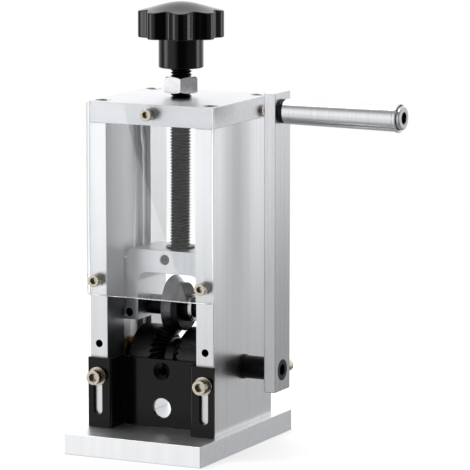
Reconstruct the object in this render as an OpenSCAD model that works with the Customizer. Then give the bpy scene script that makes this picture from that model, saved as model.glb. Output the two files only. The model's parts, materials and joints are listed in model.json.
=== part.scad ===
// Bench wire stripping machine. A frame of thick plates carries a toothed feed drum on a crank
// and, above it, a round knife on a carriage that a hand screw lifts and lowers.
// Millimetres. X runs to the right, Y to the back, Z up. The origin is the middle of the
// underside of the base plate.

/* [Base plate] */
// How far the base plate stands out past the frame at each side
base_side = 4; // [2:0.5:16]
// Depth of the base plate, front to back
base_d = 120; // [90:1:160]
// Thickness of the base plate
base_t = 12; // [10:0.5:20]
// Radius of the two rear corners of the base plate
base_corner_r = 3; // [1:0.5:8]

/* [Frame plates] */
// Width over the outsides of the two side plates
frame_w = 78; // [74:1:84]
// Depth of the side plates and the top plate
frame_d = 74; // [66:1:90]
// Height of the side plates
side_h = 174; // [166:1:200]
// Thickness of each side plate
side_t = 11; // [10:0.5:12]
// Thickness of the top plate
top_t = 12; // [10:0.5:18]
// Distance of the frame's middle behind the middle of the base
frame_shift = 2; // [0:0.5:10]

/* [Guide grooves] */
// Width of the wide groove down the inside of each side plate
rail_w = 33; // [32:0.5:38]
// Depth of the wide groove
rail_depth = 2.9; // [2:0.1:3.5]
// Width of the narrow groove in the floor of the wide one
slot_w = 24; // [20:0.5:28]
// Depth of the narrow groove below the floor of the wide one
slot_depth = 2.9; // [2:0.1:3.5]

/* [Guard] */
// Thickness of the clear guard
guard_t = 3; // [2:0.5:5]
// Height of the clear guard
guard_h = 110; // [100:1:112]
// How far the guard stands out past the frame at each side
guard_over = 0.6; // [0:0.1:1.5]
// Radius of the guard's corners
guard_corner_r = 1.5; // [1:0.5:6]

/* [Knife] */
// Radius of the round knife at its edge
blade_r = 17.8; // [16:0.1:18]
// Thickness of the knife
blade_t = 4.2; // [3:0.1:5]
// Width of the ground bevel, measured along the radius
bevel_w = 3.8; // [2:0.1:5]
// Height of the knife's axle above the base's underside
blade_z = 78.4; // [78:0.1:80]
// Place of the knife's flat left face, from the middle of the frame
blade_x = -4.3; // [-5:0.1:-3.8]
// Diameter of the knife's axle
axle_d = 8; // [6:0.5:8.5]

/* [Feed drum] */
// Radius of the feed drum
drum_r = 20; // [19:0.1:20.3]
// Gap between each end of the drum and its side plate
drum_side_gap = 4; // [3:0.5:8]
// Height of the drum's shaft above the base's underside
drum_z = 46.7; // [46:0.1:47]
// Place of the middle of the drum's groove
groove_x = -2; // [-2.5:0.1:-1]
// Half width of the groove at the drum's rim
groove_rim = 8.3; // [7.5:0.1:10]
// Half width of the groove at its floor
groove_floor = 2.6; // [2.5:0.1:3.5]
// Depth of the groove
groove_depth = 7; // [6.8:0.1:8]
// Number of teeth around each flank of the groove
tooth_count = 36; // [18:1:40]
// Slant of the teeth across the flank, in degrees
tooth_slant = 28; // [0:1:40]
// Depth of the cuts between the teeth
tooth_depth = 1.3; // [0.6:0.1:1.6]
// Width of the cuts between the teeth
tooth_gap = 1.9; // [1:0.1:2]

/* [Crank] */
// Diameter of the drive shaft in its bushes
shaft_d = 12; // [10:0.5:12]
// Diameter of the shaft between the frame and the crank arm
neck_d = 13; // [12.5:0.1:14]
// Distance between the right side plate and the crank arm
arm_gap = 17.7; // [10:0.1:30]
// Thickness of the crank arm
arm_t = 6.9; // [6:0.1:10]
// Width of the crank arm
arm_w = 19.4; // [17:0.1:24]
// Distance between the shaft and the handle
crank_throw = 146.8; // [80:0.1:180]
// How far the arm reaches below the shaft
arm_foot = 11.9; // [10:0.1:14]
// How far the arm reaches above the handle
arm_head = 10.9; // [9:0.1:14]
// Length of the handle's grip
grip_l = 69.2; // [50:0.1:90]
// Diameter of the grip beside the arm
grip_d = 14; // [13:0.1:16]
// Diameter of the grip where it is thickest, short of its rim
grip_big_d = 15.4; // [14:0.1:18]
// Diameter of the rim at the end of the grip
grip_rim_d = 16.2; // [15.5:0.1:19]

/* [Hand screw] */
// Diameter of the threaded rod
rod_d = 12; // [10:0.5:12]
// Distance across the flats of the lock nut
nut_flats = 19; // [18:0.5:22]
// Thickness of the lock nut
nut_t = 9.4; // [6:0.1:11]
// Gap between the top plate and the lock nut at rest
nut_gap = 2.9; // [1:0.1:3.5]
// Gap between the top plate and the underside of the knob at rest
knob_gap = 17; // [15:0.1:30]
// Radius of the knob at the tips of its lobes
knob_r = 24.3; // [22:0.1:28]
// Number of lobes on the knob
knob_lobes = 8; // [5:1:10]
// Diameter of the knob's neck
knob_neck_d = 25.5; // [20:0.1:28]

/* [Wire guide] */
// Thickness of the flanges and side walls of the wire guide
guide_t = 2; // [1.5:0.1:2.3]
// Thickness of the wire guide's front wall
guide_web_t = 2.6; // [2:0.1:2.8]
// Height of the wire guide
guide_h = 40.2; // [38:0.1:44]
// Gap between the wire guide's side walls and the side plates
guide_side_gap = 1.3; // [0.5:0.1:4]
// Diameter of the small wire hole
wire_d = 5; // [2:0.1:6]
// Diameter of the large wire hole
cable_d = 11.5; // [8:0.1:14]
// Place of both wire holes across the frame
wire_x = -1; // [-3:0.1:1]

/* [Hidden] */

$fn = 96;
cut = 1; // overrun of every cut past the face that it opens
seat_gap = 0.05; // radial gap of a fixed seat, such as a screw in its thread
run_gap = 0.05; // radial gap of a running fit
end_gap = 0.1; // end play beside a part that turns
slide_gap = 0.1; // side gap of the carriage's tongues in the narrow grooves
edge_r = 0.6; // broken edge of turned parts
silver = [0.86, 0.87, 0.88];
steel = [0.72, 0.73, 0.75];
black = [0.10, 0.10, 0.11];
nickel = [0.80, 0.75, 0.66];

// Frame
frame_x = frame_w / 2;
base_w = frame_w + 2 * base_side;
inner_x = frame_x - side_t;
rail_x = inner_x + rail_depth;
slot_x = rail_x + slot_depth;
axis_y = frame_shift;
front_y = axis_y - frame_d / 2;
back_y = axis_y + frame_d / 2;
side_top = base_t + side_h;
top_z = side_top + top_t;
plate_screw_x = frame_x - side_t / 2;
corner_screw_inset = 6.5;
corner_screw_y = frame_d / 2 - corner_screw_inset;
base_screw_y = 22;

// Screws by size: shank, head and socket
m4_d = 4;
m4_head_d = 7;
m4_head_h = 4;
m4_hex = 3;
m5_d = 5;
m5_head_d = 8.5;
m5_head_h = 5;
m5_hex = 4;
m6_d = 6;
m6_head_d = 10;
m6_head_h = 6;
m6_hex = 5;
m8_d = 8;
m8_head_d = 13;
m8_head_h = 8;
m8_hex = 6;
hex_depth_share = 0.6;
m4_grip = 12;
m5_grip = 16;
m6_grip = 16;
head_gap = 0.3;
low_head_h = 1.9;
low_grip = 6;
m5_tap_d = 4.4;
m5_tap_l = 12;
side_screw_back = 13;
side_screw_down = 8;

// Guard
guard_front = front_y - guard_t;
guard_low = top_z - guard_h;
guard_top_screw_down = 5.4;
guard_low_screw_up = 8.8;

// Wire guide
guide_low = base_t + end_gap;
guide_top = guide_low + guide_h;
guide_web_drop = 1.2;
guide_bend_r = 1.6;
drum_clearance = 0.6;
guide_web_back = axis_y - drum_r - drum_clearance;
guide_web_front = guide_web_back - guide_web_t;
guide_out_x = frame_x + guard_over;
guide_half = inner_x - guide_t - guide_side_gap;
guide_screw_z = 41.5;
spare_hole_z = 60;
guide_slot_w = m5_d + head_gap;
guide_slot_drop = 19.5;
guide_washer_d = 10.8;
guide_washer_t = 1;
wire_z = 44.2;
cable_z = 23;
entry_d = 10.5;
entry_depth = 1.6;

// Carriage
carriage_side_gap = 0.8;
foot_side_gap = 1;
carriage_d = rail_w - 2 * foot_side_gap;
carriage_x = inner_x - carriage_side_gap;
leg_drop = 7.2;
carriage_low = blade_z - leg_drop;
carriage_h = 41.4;
carriage_top = carriage_low + carriage_h;
carriage_corner_r = 4.5;
leg_t = 7.3;
leg_x = carriage_x - leg_t;
roof_t = 13.3;
arch_top = carriage_top - roof_t;
arch_r = 6;
foot_gap = 0.3;
foot_x = rail_x - foot_gap;
foot_h = 12.8;
tongue_x = slot_x - foot_gap;
tongue_h = 34.8;
carriage_front = axis_y - carriage_d / 2;

// Knife and its axle
axle_r = axle_d / 2;
axle_bite = 2.4;
axle_half = carriage_x + axle_bite;
hub_flange_inset = 0.1;
hub_flange_r = blade_r - bevel_w - hub_flange_inset;
hub_flange_t = 4;
hub_r = 8.3;
hub_t = 3.8;
hub_spigot_r = 6;
bearing_r = 8;
bearing_t = 2.3;
left_spacer_r = 5.75;
right_spacer_r = 6;
blade_right = blade_x + blade_t;
hub_right = blade_right + hub_flange_t + hub_t;
bearing_right = hub_right + bearing_t;
edge_land = 0.2;
axle_screw_inset = 1.4;
axle_screw_x = carriage_x - axle_screw_inset;
axle_screw_drop = 3.2;
grub_sink = 1;

// Hand screw
rod_r = rod_d / 2;
spigot_r = 4;
spigot_neck_r = 2.8;
retainer_x = -2.4;
retainer_down = 5.4;
retainer_tip_r = 1.5;
retainer_neck_h = 3.6;
rod_washer_r = 8.5;
rod_washer_t = 1;
rod_hole_chamfer = 0.5;
knob_low = top_z + knob_gap;
knob_neck_l = 17.2;
knob_under = knob_low + knob_neck_l;
knob_lobe_h = 14.2;
knob_rim_z = knob_under + knob_lobe_h;
knob_dome_h = 5.9;
knob_dome_r = 20;
knob_top = knob_rim_z + knob_dome_h;
knob_valley_depth = 4.1;
knob_lobe_power = 1.3; // above 1 the lobes are broad and the valleys narrow
knob_turn = -63.8;
nut_turn = -5;
rod_in_knob = 25;
rod_top = knob_low + rod_in_knob;

// Feed drum and shaft
drum_x = inner_x - drum_side_gap;
root_r = drum_r - groove_depth;
boss_r = 9;
boss_x = rail_x - end_gap;
shaft_r = shaft_d / 2;
shaft_end_l = 3.5;
shaft_left = -frame_x - shaft_end_l;
bush_wall = 1;
bush_r = shaft_r + bush_wall;
bush_flange_r = slot_w / 2 - slide_gap;
key_w = 4;
key_h = 4;
key_l = 20;
key_sink = 2.5;
ring_t = 1;
ring_r = 8.6;
ring_groove = 0.5;
shaft_washer_r = 7;
shaft_washer_t = 1.5;
flank_angle = atan((groove_rim - groove_floor) / groove_depth);
flank_l = groove_depth / cos(flank_angle);
shaft_hex = 6;
shaft_hex_depth = 8;

// Crank arm and handle
neck_r = neck_d / 2;
arm_x = frame_x + arm_gap;
arm_out = arm_x + arm_t;
arm_low = drum_z - arm_foot;
handle_z = drum_z + crank_throw;
arm_top = handle_z + arm_head;
arm_screw_x = arm_x + arm_t / 2;
arm_back = axis_y + arm_w / 2;
arm_washer_t = 1.2;
arm_washer_r = 3.6;
arm_flat_depth = 0.8;
bush_d = 13.6;
bush_l = 2.1;
grip_x = arm_out + bush_l + end_gap;
grip_end = grip_x + grip_l;
grip_rim_w = 1.8;
grip_groove_depth = 0.2;
head_sink = 5.8;

// Turns a piece that points up so that it points forward, right, left or back
module face_front() { rotate([90, 0, 0]) children(); }
module face_back() { rotate([-90, 0, 0]) children(); }
module face_right() { rotate([0, 90, 0]) children(); }
module face_left() { rotate([0, -90, 0]) children(); }

module hex_bar(flats, h) {
    cylinder(d = flats / cos(30), h = h, $fn = 6);
}

// A socket head screw: the underside of its head lies on the origin and its shank points down
module cap_screw(d, grip, head_d, head_h, hex) {
    difference() {
        union() {
            cylinder(d = head_d, h = head_h);
            translate([0, 0, -grip]) cylinder(d = d, h = grip + head_h / 2);
        }
        translate([0, 0, head_h * (1 - hex_depth_share)]) hex_bar(hex, head_h);
    }
}

// A headless screw with its outer end on the origin, pointing down
module grub_screw(d, l, hex) {
    difference() {
        translate([0, 0, -l]) cylinder(d = d, h = l);
        translate([0, 0, -hex]) hex_bar(hex, hex + cut);
    }
}

module tube(outer_r, inner_r, h) {
    difference() {
        cylinder(r = outer_r, h = h);
        translate([0, 0, -cut]) cylinder(r = inner_r, h = h + 2 * cut);
    }
}

module drill(d, l) {
    translate([0, 0, -l]) cylinder(d = d + 2 * seat_gap, h = l + cut);
}

// Places that screws share with their holes
module at_top_screws() {
    for (x = [-plate_screw_x, plate_screw_x], y = [-corner_screw_y, corner_screw_y])
        translate([x, axis_y + y, top_z - m5_head_h - head_gap]) children();
}
module at_base_screws() {
    for (x = [-plate_screw_x, plate_screw_x], y = [-base_screw_y, base_screw_y])
        translate([x, axis_y + y, m6_head_h + head_gap]) rotate([180, 0, 0]) children();
}
module at_guard_screws() {
    translate([0, guard_front, top_z - guard_top_screw_down]) face_front() children();
    for (x = [-plate_screw_x, plate_screw_x])
        translate([x, guard_front, guard_low + guard_low_screw_up]) face_front() children();
}
module at_guide_screws() {
    for (x = [-plate_screw_x, plate_screw_x])
        translate([x, front_y - guide_t, guide_screw_z]) face_front() children();
}
module at_side_screw() {
    translate([frame_x, back_y - side_screw_back, top_z - side_screw_down]) face_right() children();
}
module at_axle_screws() {
    for (x = [-axle_screw_x, axle_screw_x])
        translate([x, carriage_front, blade_z - axle_screw_drop]) face_front() children();
}

module base_plate() {
    color(silver) difference() {
        translate([-base_w / 2, -base_d / 2, 0]) cube([base_w, base_d, base_t]);
        for (side = [-1, 1]) translate([side * base_w / 2, base_d / 2, 0]) base_corner(side);
        at_base_screws() {
            cylinder(d = m6_head_d + 2 * head_gap, h = m6_head_h + head_gap + cut);
            translate([0, 0, -base_t]) cylinder(d = m6_d + 2 * head_gap, h = base_t + cut);
        }
    }
}

// What is cut away to round one rear corner of the base plate
module base_corner(side) {
    r = base_corner_r;
    difference() {
        translate([-r, -r, -cut]) cube([2 * r, 2 * r, base_t + 2 * cut]);
        translate([-side * r, -r, -2 * cut]) cylinder(r = r, h = base_t + 4 * cut);
        translate([-side * 2 * r - r, -r, -2 * cut]) cube([2 * r, 2 * r, base_t + 4 * cut]);
    }
}

// The right side plate; the left one is its mirror image
module side_plate() {
    difference() {
        translate([inner_x, front_y, base_t]) cube([side_t, frame_d, side_h]);
        translate([inner_x - cut, axis_y - rail_w / 2, base_t - cut])
            cube([rail_depth + cut, rail_w, side_h + 2 * cut]);
        translate([inner_x - cut, axis_y - slot_w / 2, base_t - cut])
            cube([rail_depth + slot_depth + cut, slot_w, side_h + 2 * cut]);
        translate([inner_x, axis_y, drum_z]) face_right() cylinder(r = bush_r + seat_gap, h = side_t + cut);
        at_top_screws() drill(m5_d, m5_grip);
        at_base_screws() drill(m6_d, m6_grip);
        at_guard_screws() drill(m4_d, m4_grip);
        at_guide_screws() drill(m5_d, m5_grip);
        translate([plate_screw_x, front_y, spare_hole_z]) face_front() translate([0, 0, -m5_tap_l])
            cylinder(d = m5_tap_d, h = m5_tap_l + cut);
    }
}
module right_side_plate() { color(silver) side_plate(); }
module left_side_plate() { color(silver) mirror([1, 0, 0]) side_plate(); }

module top_plate() {
    color(silver) difference() {
        translate([-frame_x, front_y, side_top]) cube([frame_w, frame_d, top_t]);
        translate([0, axis_y, side_top - cut]) cylinder(r = rod_r + run_gap, h = top_t + 2 * cut);
        translate([0, axis_y, top_z - rod_hole_chamfer]) cylinder(r1 = rod_r + run_gap,
            r2 = rod_r + run_gap + 2 * rod_hole_chamfer, h = 2 * rod_hole_chamfer);
        at_top_screws() {
            cylinder(d = m5_head_d + 2 * head_gap, h = m5_head_h + head_gap + cut);
            translate([0, 0, -top_t]) cylinder(d = m5_d + 2 * head_gap, h = top_t + cut);
        }
        at_guard_screws() drill(m4_d, m4_grip);
        at_side_screw() drill(m4_d, low_grip);
    }
}

module top_screws() {
    color(nickel) at_top_screws() cap_screw(m5_d, m5_grip, m5_head_d, m5_head_h, m5_hex);
}
module base_screws() {
    color(nickel) at_base_screws() cap_screw(m6_d, m6_grip, m6_head_d, m6_head_h, m6_hex);
}
module side_screw() {
    color(nickel) at_side_screw() cap_screw(m4_d, low_grip, m4_head_d, low_head_h, m4_hex);
}
module guard_screws() {
    color(nickel) at_guard_screws() cap_screw(m4_d, m4_grip, m4_head_d, m4_head_h, m4_hex);
}
module guide_screws() {
    color(nickel) at_guide_screws() translate([0, 0, guide_washer_t])
        cap_screw(m5_d, m5_grip, m5_head_d, m5_head_h, m5_hex);
}
module guide_washers() {
    color(nickel) at_guide_screws() tube(guide_washer_d / 2, m5_d / 2 + seat_gap, guide_washer_t);
}

module guard() {
    w = frame_w + 2 * guard_over;
    color([0.8, 0.85, 0.9, 0.4]) difference() {
        translate([0, front_y, guard_low + guard_h / 2]) face_front()
            rounded_slab(w, guard_h, guard_t, guard_corner_r);
        at_guard_screws() translate([0, 0, -guard_t - cut])
            cylinder(d = m4_d + 2 * head_gap, h = guard_t + 2 * cut);
    }
}

// A flat slab on the origin with its four corners rounded
module rounded_slab(w, h, t, r) {
    translate([-w / 2 + r, -h / 2, 0]) cube([w - 2 * r, h, t]);
    translate([-w / 2, -h / 2 + r, 0]) cube([w, h - 2 * r, t]);
    for (x = [-1, 1], y = [-1, 1]) translate([x * (w / 2 - r), y * (h / 2 - r), 0]) cylinder(r = r, h = t);
}

// Flanged bush: its flange fills the narrow groove and its body goes through the plate
module shaft_bush() {
    difference() {
        union() {
            translate([rail_x, axis_y, drum_z]) face_right() cylinder(r = bush_flange_r, h = slot_depth);
            translate([rail_x, axis_y, drum_z]) face_right() cylinder(r = bush_r, h = frame_x - rail_x);
        }
        translate([rail_x - cut, axis_y, drum_z]) face_right()
            cylinder(r = shaft_r + run_gap, h = frame_x - rail_x + 2 * cut);
    }
}
module right_bush() { color([0.72, 0.55, 0.30]) shaft_bush(); }
module left_bush() { color([0.72, 0.55, 0.30]) mirror([1, 0, 0]) shaft_bush(); }

// Outline of the wire guide from above: two flanges, two side walls and the front wall between them
module guide_outline() {
    flange_w = guide_out_x - guide_half;
    wall_l = front_y - guide_web_front;
    for (side = [-1, 1]) {
        translate([side > 0 ? guide_half + guide_bend_r : -guide_out_x, front_y - guide_t])
            square([flange_w - guide_bend_r, guide_t]);
        translate([side > 0 ? guide_half : -guide_half - guide_t, front_y - guide_t + guide_bend_r])
            square([guide_t, guide_web_back - front_y + guide_t - guide_bend_r]);
        translate([side * (guide_half + guide_bend_r), front_y - guide_t + guide_bend_r])
            circle(r = guide_bend_r);
    }
    translate([-guide_half - cut, guide_web_front]) square([2 * guide_half + 2 * cut, guide_web_t]);
}
module wire_guide() {
    color(black) difference() {
        translate([0, 0, guide_low]) linear_extrude(height = guide_h) guide_outline();
        translate([-guide_half, guide_web_front - cut, guide_top - guide_web_drop])
            cube([2 * guide_half, guide_web_t + 2 * cut, guide_web_drop + cut]);
        for (x = [-plate_screw_x, plate_screw_x]) {
            translate([x - guide_slot_w / 2, front_y - guide_t - cut, guide_screw_z - guide_slot_drop])
                cube([guide_slot_w, guide_t + 2 * cut, guide_slot_drop]);
            for (z = [guide_screw_z - guide_slot_drop, guide_screw_z])
                translate([x, front_y + cut, z]) face_front()
                    cylinder(d = guide_slot_w, h = guide_t + 2 * cut);
        }
        translate([wire_x, guide_web_back + cut, wire_z]) face_front()
            cylinder(d = wire_d, h = guide_web_t + 2 * cut);
        translate([wire_x, guide_web_front + entry_depth, wire_z]) face_front()
            cylinder(d1 = wire_d, d2 = 2 * entry_d - wire_d, h = 2 * entry_depth);
        translate([wire_x, guide_web_back + cut, cable_z]) face_front()
            cylinder(d = cable_d, h = guide_web_t + 2 * cut);
    }
}

// Front outline of the carriage: a block with rounded top corners and a round-cornered arch
module carriage_outline() {
    r = carriage_corner_r;
    difference() {
        union() {
            translate([-carriage_x, carriage_low]) square([2 * carriage_x, carriage_h - r]);
            translate([-carriage_x + r, carriage_low]) square([2 * carriage_x - 2 * r, carriage_h]);
            for (x = [-1, 1]) translate([x * (carriage_x - r), carriage_top - r]) circle(r = r);
        }
        translate([-leg_x, carriage_low - cut]) square([2 * leg_x, arch_top - arch_r - carriage_low + cut]);
        translate([-leg_x + arch_r, carriage_low - cut])
            square([2 * leg_x - 2 * arch_r, arch_top - carriage_low + cut]);
        for (x = [-1, 1]) translate([x * (leg_x - arch_r), arch_top - arch_r]) circle(r = arch_r);
    }
}
module carriage() {
    tongue_w = slot_w - 2 * slide_gap;
    leg_overlap = leg_t / 2;
    color(silver) difference() {
        union() {
            translate([0, axis_y + carriage_d / 2, 0]) face_front()
                linear_extrude(height = carriage_d) carriage_outline();
            for (side = [-1, 1]) {
                translate([side > 0 ? carriage_x - leg_overlap : -foot_x, carriage_front, carriage_low])
                    cube([foot_x - carriage_x + leg_overlap, carriage_d, foot_h]);
                translate([side > 0 ? carriage_x - leg_overlap : -tongue_x, axis_y - tongue_w / 2,
                    carriage_low]) cube([tongue_x - carriage_x + leg_overlap, tongue_w, tongue_h]);
            }
        }
        translate([-tongue_x - cut, axis_y, blade_z]) face_right()
            cylinder(r = axle_r + seat_gap, h = 2 * tongue_x + 2 * cut);
        translate([0, axis_y, arch_top - cut]) cylinder(r = spigot_r + run_gap, h = roof_t + 2 * cut);
        at_axle_screws() translate([0, 0, carriage_front + axle_r - axis_y])
            cylinder(d = m5_d + 2 * seat_gap, h = carriage_d);
        translate([retainer_x, axis_y - spigot_r, carriage_top - retainer_down]) face_front()
            cylinder(d = m6_d + 2 * seat_gap, h = carriage_d);
        translate([retainer_x, axis_y, carriage_top - retainer_down]) face_front()
            cylinder(r = retainer_tip_r + seat_gap, h = carriage_d);
    }
}

module blade_axle() {
    color(steel) translate([-axle_half, axis_y, blade_z]) face_right()
        cylinder(r = axle_r, h = 2 * axle_half);
}
module left_spacer() {
    color(black) translate([-leg_x, axis_y, blade_z]) face_right()
        tube(left_spacer_r, axle_r + seat_gap, leg_x + blade_x - end_gap);
}
module right_spacer() {
    color(black) translate([bearing_right + end_gap, axis_y, blade_z]) face_right()
        tube(right_spacer_r, axle_r + seat_gap, leg_x - bearing_right - end_gap);
}
// Two grub screws in the carriage's feet hold the axle
module axle_screws() {
    l = axis_y - axle_r - carriage_front - grub_sink - seat_gap;
    color(black) at_axle_screws() translate([0, 0, -grub_sink]) grub_screw(m5_d, l, m4_hex);
}
// The retaining screw's thin tip stands in the neck of the rod's spigot
module retaining_screw() {
    body_l = axis_y - spigot_r - carriage_front - grub_sink - foot_gap;
    tip_l = spigot_r - spigot_neck_r;
    color(steel) translate([retainer_x, carriage_front, carriage_top - retainer_down]) face_front()
        translate([0, 0, -grub_sink]) {
            grub_screw(m6_d, body_l, m4_hex);
            translate([0, 0, -body_l - tip_l]) cylinder(r = retainer_tip_r, h = tip_l + cut);
        }
}

module threaded_rod() {
    neck_z = carriage_top - retainer_down;
    color(black) translate([0, axis_y, 0]) difference() {
        union() {
            translate([0, 0, carriage_top + rod_washer_t])
                cylinder(r = rod_r, h = rod_top - carriage_top - rod_washer_t);
            translate([0, 0, arch_top + end_gap]) cylinder(r = spigot_r, h = roof_t + 2 * rod_washer_t);
        }
        translate([0, 0, neck_z - retainer_neck_h / 2]) tube(spigot_r + cut, spigot_neck_r, retainer_neck_h);
    }
}
module rod_washer() {
    color(steel) translate([0, axis_y, carriage_top]) tube(rod_washer_r, spigot_r + seat_gap, rod_washer_t);
}

// Outline of the knob's head from above: rounded lobes and wide valleys
module knob_outline() {
    steps = 16 * knob_lobes;
    polygon([for (i = [0:steps - 1]) let (a = 360 * i / steps, wave = (1 - cos(knob_lobes * a)) / 2)
        (knob_r - knob_valley_depth * pow(wave, knob_lobe_power)) * [cos(a), sin(a)]]);
}
module knob() {
    dome_ball_r = (knob_dome_r * knob_dome_r + knob_dome_h * knob_dome_h) / (2 * knob_dome_h);
    color(black) translate([0, axis_y, 0]) difference() {
        union() {
            translate([0, 0, knob_low]) cylinder(d = knob_neck_d, h = knob_under - knob_low + cut);
            translate([0, 0, knob_under]) rotate(knob_turn)
                linear_extrude(height = knob_lobe_h) knob_outline();
            intersection() {
                translate([0, 0, knob_top - dome_ball_r]) sphere(r = dome_ball_r);
                translate([0, 0, knob_rim_z - cut]) cylinder(r = knob_dome_r, h = knob_dome_h + 2 * cut);
            }
        }
        translate([0, 0, knob_low - cut]) cylinder(r = rod_r + seat_gap, h = rod_in_knob + cut + seat_gap);
    }
}
module lock_nut() {
    color(silver) translate([0, axis_y, top_z + nut_gap]) rotate(nut_turn) difference() {
        hex_bar(nut_flats, nut_t);
        translate([0, 0, -cut]) cylinder(r = rod_r + run_gap, h = nut_t + 2 * cut);
    }
}

// The knife: flat on its left face, ground to its edge on the right
module blade() {
    color(steel) translate([blade_x, axis_y, blade_z]) face_right() rotate_extrude()
        polygon([[hub_spigot_r + seat_gap, 0], [blade_r, 0], [blade_r, edge_land],
            [blade_r - bevel_w, blade_t], [hub_spigot_r + seat_gap, blade_t]]);
}
module blade_hub() {
    color(black) translate([blade_x, axis_y, blade_z]) face_right() difference() {
        union() {
            cylinder(r = hub_spigot_r, h = blade_t + hub_flange_t / 2);
            translate([0, 0, blade_t]) cylinder(r = hub_flange_r, h = hub_flange_t);
            translate([0, 0, blade_t + hub_flange_t / 2]) cylinder(r = hub_r, h = hub_flange_t / 2 + hub_t);
        }
        translate([0, 0, -cut]) cylinder(r = axle_r + run_gap, h = hub_right - blade_x + 2 * cut);
    }
}
module blade_bearing() {
    color(steel) translate([hub_right, axis_y, blade_z]) face_right()
        tube(bearing_r, axle_r + run_gap, bearing_t);
}

// One slanted V cut across a flank of the groove; side is 1 for the right flank and -1 for the left
module tooth_cut(side) {
    translate([groove_x + side * (groove_rim + groove_floor) / 2, 0, (root_r + drum_r) / 2])
        rotate([0, side * flank_angle, 0]) rotate([tooth_slant, 0, 0])
            translate([0, 0, -flank_l / 2 - cut]) linear_extrude(height = flank_l + 3 * cut)
                polygon(side * [[tooth_depth, 0], [-tooth_depth, tooth_gap], [-tooth_depth, -tooth_gap]]);
}
module keyway() {
    translate([-boss_x - cut, -key_w / 2 - seat_gap, 0])
        cube([2 * boss_x + 2 * cut, key_w + 2 * seat_gap, shaft_r + key_h - key_sink + seat_gap]);
}
// The drum is a plain core, the floor of the groove, between two cheeks with the toothed flanks
module drum_cheek(side) {
    translate([0, axis_y, drum_z]) difference() {
        face_right() rotate_extrude() polygon([
            [shaft_r + seat_gap, groove_x + side * groove_floor], [root_r, groove_x + side * groove_floor],
            [drum_r, groove_x + side * groove_rim], [drum_r, side * (drum_x - edge_r)],
            [drum_r - edge_r, side * drum_x], [boss_r, side * drum_x], [boss_r, side * boss_x],
            [shaft_r + seat_gap, side * boss_x]]);
        for (i = [0:tooth_count - 1]) rotate([360 * i / tooth_count, 0, 0]) tooth_cut(side);
        keyway();
    }
}
module left_drum_cheek() { color(black) drum_cheek(-1); }
module right_drum_cheek() { color(black) drum_cheek(1); }
module drum_core() {
    color(black) translate([0, axis_y, drum_z]) difference() {
        translate([groove_x - groove_floor, 0, 0]) face_right()
            tube(root_r, shaft_r + seat_gap, 2 * groove_floor);
        keyway();
    }
}
module drum_key() {
    color(steel) translate([-key_l / 2, axis_y - key_w / 2, drum_z + shaft_r - key_sink])
        cube([key_l, key_w, key_h]);
}

module drive_shaft() {
    shoulder_x = frame_x + end_gap + shaft_washer_t;
    flat_z = shaft_r - arm_flat_depth;
    color(black) translate([0, axis_y, drum_z]) difference() {
        union() {
            translate([shaft_left, 0, 0]) face_right() cylinder(r = shaft_r, h = arm_out - shaft_left);
            translate([shoulder_x, 0, 0]) face_right() cylinder(r = neck_r, h = arm_x - shoulder_x);
        }
        translate([-key_l / 2 - seat_gap, -key_w / 2 - seat_gap, shaft_r - key_sink])
            cube([key_l + 2 * seat_gap, key_w + 2 * seat_gap, key_h]);
        translate([-frame_x - end_gap - ring_t - seat_gap, 0, 0]) face_right()
            tube(shaft_r + cut, shaft_r - ring_groove, ring_t + 2 * seat_gap);
        translate([arm_x + end_gap, flat_z, -shaft_r]) cube([arm_t + cut, shaft_r, shaft_d]);
        translate([arm_out - shaft_hex_depth, 0, 0]) face_right() hex_bar(shaft_hex, shaft_hex_depth + cut);
    }
}
module shaft_washer() {
    color(black) translate([frame_x + end_gap, axis_y, drum_z]) face_right()
        tube(shaft_washer_r, shaft_r + seat_gap, shaft_washer_t);
}
module shaft_ring() {
    color(steel) translate([-frame_x - end_gap - ring_t, axis_y, drum_z]) face_right()
        tube(ring_r, shaft_r - ring_groove + seat_gap, ring_t);
}

module crank_arm() {
    color(silver) difference() {
        translate([arm_x, axis_y - arm_w / 2, arm_low]) cube([arm_t, arm_w, arm_top - arm_low]);
        translate([arm_x - cut, axis_y, drum_z]) face_right()
            cylinder(r = shaft_r + seat_gap, h = arm_t + 2 * cut);
        translate([arm_x - cut, axis_y, handle_z]) face_right()
            cylinder(d = m8_d + 2 * seat_gap, h = arm_t + 2 * cut);
        translate([arm_screw_x, axis_y, drum_z]) face_back() cylinder(d = m4_d + 2 * seat_gap, h = arm_w);
    }
}
// The screw that holds the arm on the shaft's flat
module arm_screw() {
    grip = arm_back + arm_washer_t - axis_y - shaft_r + arm_flat_depth - seat_gap;
    color(nickel) translate([arm_screw_x, arm_back + arm_washer_t, drum_z]) face_back()
        cap_screw(m4_d, grip, m4_head_d, m4_head_h, m4_hex);
}
module arm_screw_washer() {
    color(nickel) translate([arm_screw_x, arm_back, drum_z]) face_back()
        tube(arm_washer_r, m4_d / 2 + seat_gap, arm_washer_t);
}

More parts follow.
